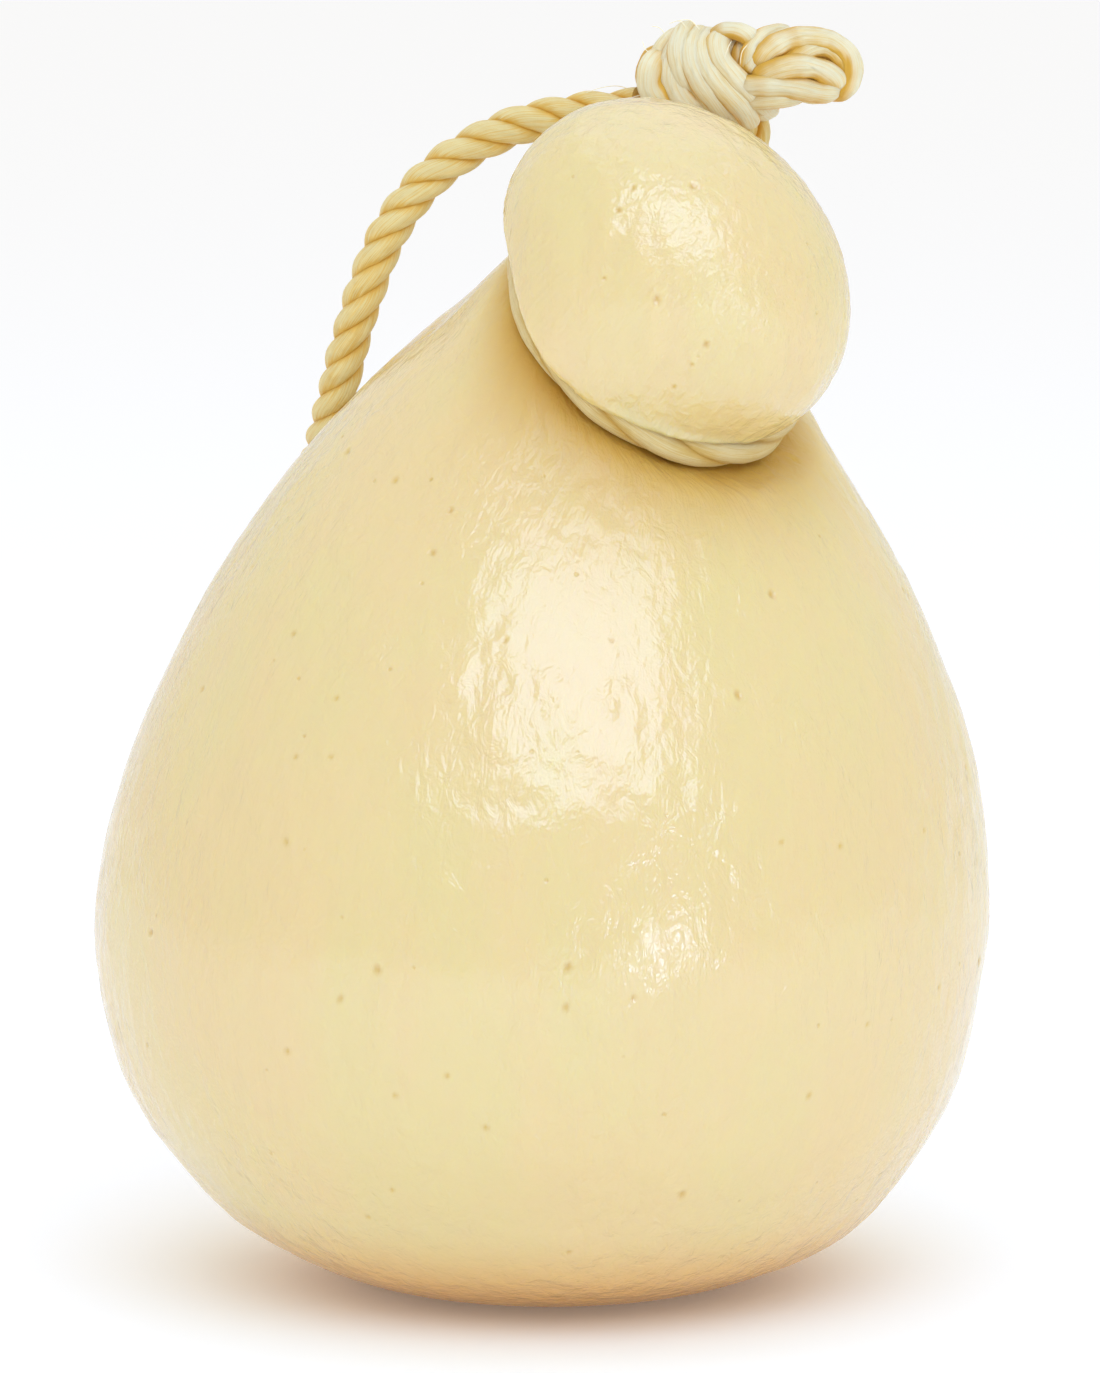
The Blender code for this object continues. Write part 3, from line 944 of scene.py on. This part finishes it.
knot = {
    "axis": Vector((0.025, 0.0035, 0.2125)),
    "reach": 0.0066,            # from the axis to the front and to the back of an inner wrap
    "spacing": 0.0006,
    "sides": 36,
    "flatness": 0.74,
    "fibreDepth": 0.00022,
    # the closed inner wraps: where the front runs, as right and up in metres, and the width
    "wraps": [
        ([(0.0215, 0.216), (0.018, 0.2145), (0.0172, 0.211), (0.019, 0.2082), (0.022, 0.2068)], 0.0046),
        ([(0.0245, 0.2182), (0.0216, 0.2155), (0.0214, 0.211), (0.024, 0.2076), (0.027, 0.2056)], 0.0048),
        ([(0.027, 0.2186), (0.0246, 0.216), (0.0254, 0.2118), (0.029, 0.2076), (0.0328, 0.205)], 0.0052),
        ([(0.0308, 0.2186), (0.0288, 0.2162), (0.0300, 0.212), (0.0336, 0.2084), (0.037, 0.2062)], 0.0052),
        ([(0.035, 0.218), (0.0334, 0.2158), (0.0344, 0.2125), (0.0372, 0.2098), (0.0398, 0.2086)], 0.0046),
    ],
    # the strands in front: places in the photograph with their depth in millimetres, and the width
    "strands": [
        ([(684, 30, 3), (668, 40, 0), (657, 56, -1), (653, 74, 0), (660, 92, 3)], 0.0031),
        ([(692, 30, 1), (677, 43, -2.2), (669, 60, -3), (668, 78, -2.5), (675, 96, 0)], 0.0031),
        ([(690, 24, 3), (682, 34, -1.5), (677, 52, -3.8), (681, 72, -4.2), (691, 90, -3),
          (702, 106, 0)], 0.0036),
        ([(702, 28, 2), (691, 44, -3), (691, 62, -4.6), (701, 82, -5), (715, 100, -4),
          (730, 118, -1)], 0.004),
        ([(712, 30, 2), (702, 48, -3.2), (707, 68, -5), (723, 88, -5.2), (741, 106, -4),
          (753, 126, 0)], 0.0044),
        ([(730, 30, 1), (717, 44, -3.5), (720, 60, -5), (735, 78, -5.4), (752, 96, -4.6),
          (768, 112, -1)], 0.0042),
        ([(706, 40, -1), (722, 31, -2), (740, 32, -2.5), (752, 40, -3), (755, 54, -4),
          (746, 74, -4.8)], 0.0036),
        ([(746, 76, -4), (750, 54, -4.4), (760, 39, -3), (776, 32, -1), (792, 32, 0)], 0.0034),
        ([(752, 70, -4.5), (766, 52, -4.8), (786, 41, -3.8), (808, 38, -3), (832, 42, -2), (848, 56, -1),
          (851, 74, -0.5), (842, 92, 0), (824, 98, 1)], 0.0044),
        ([(770, 78, -4), (790, 62, -4.4), (806, 50, -4), (826, 48, -2.4), (842, 62, -1.4),
          (842, 80, -1)], 0.0036),
        ([(752, 80, -5), (772, 71, -5.8), (796, 66, -5.6), (818, 69, -4.6), (834, 79, -3),
          (838, 90, -1)], 0.0042),
        ([(724, 88, -4.4), (748, 86, -5.4), (770, 86, -5.8), (796, 88, -5), (818, 92, -3.6),
          (840, 92, -1.4)], 0.0042),
        ([(736, 102, -3.4), (760, 100, -4.6), (782, 98, -4.4), (804, 94, -2)], 0.0038),
        ([(790, 60, 3), (812, 60, 3), (830, 66, 3), (840, 76, 3)], 0.0056),
    ],
    "bight": [
        (0.029, 0.004, 0.2152), (0.036, 0.004, 0.216), (0.045, 0.004, 0.2166),
        (0.0492, 0.004, 0.2157), (0.051, 0.004, 0.2134), (0.0494, 0.004, 0.211),
        (0.045, 0.004, 0.2100), (0.037, 0.004, 0.2092), (0.029, 0.004, 0.2086),
    ],
    "legs": [
        [(0.022, 0.005, 0.207), (0.0198, 0.0082, 0.201), (0.0168, 0.0082, 0.1962),
         (0.0148, 0.0056, 0.193), (0.015, 0.0019, 0.1902)],
        [(0.032, 0.0035, 0.207), (0.035, 0.0044, 0.2032), (0.0348, 0.0078, 0.1965),
         (0.0322, 0.0098, 0.1895), (0.0297, 0.0088, 0.185), (0.0281, 0.0051, 0.1829)],
    ],
    # fine loose fibres: places in the photograph with their depth in millimetres
    "wisps": [
        [(640, 93, 6), (618, 86, 5), (600, 88, 4), (585, 93, 3)],
        [(662, 60, -2), (646, 50, -2), (642, 40, -1)],
        [(668, 40, -2), (660, 28, -2), (650, 26, -1)],
        [(688, 30, -2), (680, 21, -2), (668, 24, -1)],
        [(700, 30, -3), (690, 20, -2), (676, 21, -2)],
        [(772, 32, -2), (784, 29, -2), (790, 26, -2)],
        [(724, 60, -8), (728, 48, -8.4), (732, 40, -7)],
        [(740, 66, -8), (742, 52, -8.4), (748, 44, -7)],
        [(652, 84, -2), (644, 94, -1), (632, 97, 0)],
        [(664, 90, -2), (656, 94, -1), (640, 96, 0)],
    ],
    "wispWidth": 0.00016,
    "wispSides": 6,
    "wispSteps": 8,
    "strandSteps": 12,
    "wrapSteps": 16,
    "wrapDepths": (0.25, 0.9, 1.0, 0.9, 0.25),
    "sectionStretch": (0.1, 1.0, 1.0),      # how the bundles' flat sides turn from the axis
    "crestStretch": (0.55, 1.0, 1.0),
    "taperPower": 8.0,
    "swellScale": 300.0,
    "swell": 0.35,
    "pale": linear(255, 244, 206),
    "gold": linear(250, 220, 142),
    # painted shade in the seams between bundles
    "deep": linear(236, 182, 66),
}
knotRope = {
    **rope,
    "strand": 0.00156,
    "spread": 0.00162,
    "sides": 28,
    "twist": -120.0,
    "unevenness": 0.10,
    "looseTurns": 0.0,
    "ringSpacing": 0.0006,
    "routeSteps": 16,
    "linePoints": 60,
    "legTurn": 1.0,
}


def atDepth(x, y, depth):
    # the place behind a pixel of the photograph, so many millimetres to the back
    way = rayThrough(x, y)
    return view["place"] + way * ((depth / 1000.0 - view["place"].y) / way.y)


def wrapRoute(front):
    # a closed way round the knot: down its front, and up its back
    middle, reach = knot["axis"].y, knot["reach"]
    depths, steps = knot["wrapDepths"], knot["wrapSteps"]
    forth = [(x, middle - reach * share, z) for (x, z), share in zip(front, depths)]
    back = [(x, middle + reach * share, z) for (x, z), share in zip(front[::-1], depths)]
    loop = forth + back
    return smoothThrough(loop[-3:] + loop + loop[:3], steps)[3 * steps:-3 * steps]


def bundleTree():
    sizes = {"sides": knot["sides"], "flatness": knot["flatness"], "fibreDepth": knot["fibreDepth"]}
    tree, graph = newTree("fibreBundles", {**sizes, "material": None})
    node = graph.node
    given = node("NodeGroupInput")
    place = node("GeometryNodeInputPosition")
    fromAxis = graph.vector("SUBTRACT", place, knot["axis"])
    away = graph.vector("NORMALIZE", graph.stretch(fromAxis, knot["sectionStretch"]))
    curve = node("GeometryNodeMeshToCurve", {}, {0: given})
    spaced = {"Curve": curve, "Length": knot["spacing"]}
    curve = node("GeometryNodeResampleCurve", {"mode": "LENGTH"}, spaced)
    curve = node("GeometryNodeSetCurveNormal", {"mode": "FREE"}, {"Curve": curve, "Normal": away})
    parameter = node("GeometryNodeSplineParameter")
    curve = graph.store(curve, "along", parameter["Length"])
    fromMiddle = (parameter["Factor"] * 2.0 - 1.0).math("ABSOLUTE")
    taper = (1.0 - fromMiddle ** knot["taperPower"]).math("SQRT")
    taper = taper.math("MAXIMUM", node("GeometryNodeInputSplineCyclic"))
    swell = (graph.noise(place, knot["swellScale"], 1.0) - 0.5) * knot["swell"] + 1.0
    thickness = graph.named("width", "FLOAT") * 0.5 * taper * swell
    section = graph.store(graph.circle(given["sides"]), "section", place, "FLOAT_VECTOR")
    parts = node("ShaderNodeSeparateXYZ", {}, {0: place})
    flat = node("ShaderNodeCombineXYZ", {}, {"X": parts["X"] * given["flatness"], "Y": parts["Y"]})
    section = node("GeometryNodeSetPosition", {}, {"Geometry": section, "Position": flat})
    swept = {"Curve": curve, "Profile Curve": section, "Scale": thickness, "Fill Caps": True}
    whole = node("GeometryNodeCurveToMesh", {}, swept)
    whole = fibreRelief(graph, whole, given["fibreDepth"])
    facing = node("GeometryNodeInputNormal")
    # how far a face looks out from the knot's middle: low in the seams, for painted shade
    outward = graph.vector("NORMALIZE", graph.stretch(fromAxis, knot["crestStretch"]))
    crest = graph.vector("DOT_PRODUCT", facing, outward, output="Value")
    whole = graph.store(whole, "crest", crest.math("ABSOLUTE"))
    whole = node("GeometryNodeSetShadeSmooth", {}, {"Geometry": whole})
    closeTree(graph, whole, given["material"])
    return tree


def makeKnotBundles(tree, material, wispMaterial):
    chains = [(wrapRoute(front), width, True) for front, width in knot["wraps"]]
    for places, width in knot["strands"]:
        chains.append((strandRoute(places, knot["strandSteps"]), width, False))
    growBundles("knot_wraps", chains, {}, tree, material)
    wisps = [(strandRoute(places, knot["wispSteps"]), knot["wispWidth"], False) for places in knot["wisps"]]
    fine = {"sides": knot["wispSides"], "flatness": 1.0, "fibreDepth": 0.0}
    growBundles("knot_wisps", wisps, fine, tree, wispMaterial)


def strandRoute(places, steps):
    return smoothThrough([atDepth(*place) for place in places], steps)


def growBundles(name, chains, sizes, tree, material):
    # all the chains of edges in one mesh, each with its width
    points, edges, widths = [], [], []
    for route, width, closed in chains:
        start = len(points)
        points += [tuple(point) for point in route]
        edges += [(start + step, start + step + 1) for step in range(len(route) - 1)]
        if closed:
            edges.append((len(points) - 1, start))
        widths += [width] * len(route)
    mesh = bpy.data.meshes.new(name)
    mesh.from_pydata(points, edges, [])
    layer = mesh.attributes.new("width", "FLOAT", "POINT")
    layer.data.foreach_set("value", widths)
    piece = makeObject(name, mesh)
    growWith(piece, tree, {**sizes, "material": material})
    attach(piece, "root")
    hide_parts("knot")
    print(name, len(piece.data.polygons), "faces")


def makeKnotRope(name, points, turn, tree, material):
    route = smoothThrough(points, knotRope["routeSteps"])
    piece = lineObject(name, evenlySpaced(route, knotRope["linePoints"]))
    kind = {**knotRope, "startTurn": turn}
    growRope(piece, tree, kind, int(lengthOf(route) / knotRope["ringSpacing"]), material)
    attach(piece, "root")
    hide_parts("knot")


# Studio: a pale endless floor, a soft light above the camera, a small one beside it, a large one overhead.

studio = {
    "floorSize": 30.0,
    "floorColour": (0.96, 0.956, 0.95, 1.0),
    "zenith": 1.12,
    "horizon": 1.09,
    "floorGlow": 0.09,
    "skyRange": (-0.1, 0.8),
    # azimuth and elevation from the cheese's middle, distance, width, height, watts
    "lights": [
        ("softbox", 7.5, 40.0, 1.15, 1.04, 0.80, 5.8),
        ("fill", 29.0, -1.0, 1.10, 0.30, 0.12, 0.6),
        ("overhead", 180.0, 78.0, 1.30, 1.40, 1.40, 2.8),
    ],
    "lightColour": (0.46, 0.64, 1.0),
    "middle": Vector((0.0, 0.0, 0.11)),
}


def makeStudio():
    half = studio["floorSize"] / 2
    mesh = bpy.data.meshes.new("floor")
    corners = [(-half, -half, 0.0), (half, -half, 0.0), (half, half, 0.0), (-half, half, 0.0)]
    mesh.from_pydata(corners, [], [(0, 1, 2, 3)])
    material, graph = newMaterial("paleFloor")
    closeMaterial(graph, graph.node("ShaderNodeBsdfPrincipled", {}, {
        "Base Color": studio["floorColour"],
        "Roughness": 0.8,
        "Specular IOR Level": 0.0,
        "Emission Color": (1.0, 1.0, 1.0, 1.0),
        "Emission Strength": studio["floorGlow"],
    }))
    floor = makeObject("floor", mesh, material)
    for name, azimuth, elevation, distance, width, height, watts in studio["lights"]:
        light = bpy.data.lights.new(name, "AREA")
        light.shape = "RECTANGLE"
        light.size = width
        light.size_y = height
        light.energy = watts
        light.color = studio["lightColour"]
        lamp = bpy.data.objects.new(name, light)
        side, rise = math.radians(azimuth), math.radians(elevation)
        away = Vector((math.sin(side) * math.cos(rise), -math.cos(side) * math.cos(rise), math.sin(rise)))
        lamp.location = studio["middle"] + away * distance
        lamp.rotation_euler = (-away).to_track_quat("-Z", "Y").to_euler()
        scene.collection.objects.link(lamp)
    world = bpy.data.worlds.new("studio")
    scene.world = world
    world.use_nodes = True
    world.node_tree.nodes.clear()
    graph = Graph(world.node_tree)
    direction = graph.node("ShaderNodeTexCoord", {}, {}, "Generated")
    high = graph.between(graph.rise(direction), *studio["skyRange"])
    level = high * (studio["zenith"] - studio["horizon"]) + studio["horizon"]
    sky = graph.node("ShaderNodeBackground", {}, {"Strength": level})
    graph.node("ShaderNodeOutputWorld", {}, {"Surface": sky})
    scene.view_settings.view_transform = "Standard"
    scene.view_settings.look = "None"


def main():
    makeCamera()
    tree = ropeTree()
    fibre = fibreMaterial("ropeFibre", rope, 0.42, 0.4)
    waxed = fibreMaterial("waxedFibre", tie, 0.3, 0.5)
    makeHangingLoop(tree, fibre)
    makeCheese()
    makeNeckRope(tree, waxed)
    allPale = {tone: knot["pale"] for tone in ("pale", "gold", "deep")}
    wisp = fibreMaterial("wispFibre", allPale, 0.5, 0.0, 0.0)
    makeKnotBundles(bundleTree(), fibreMaterial("knotFibre", knot, 0.4, 0.93), wisp)
    makeKnotRope("knot_bight", knot["bight"], 0.0, tree, fibre)
    for number, leg in enumerate(knot["legs"]):
        makeKnotRope("knot_leg_" + "ab"[number], leg, knotRope["legTurn"], tree, fibre)
    makeStudio()
    print("studio ready")


main()
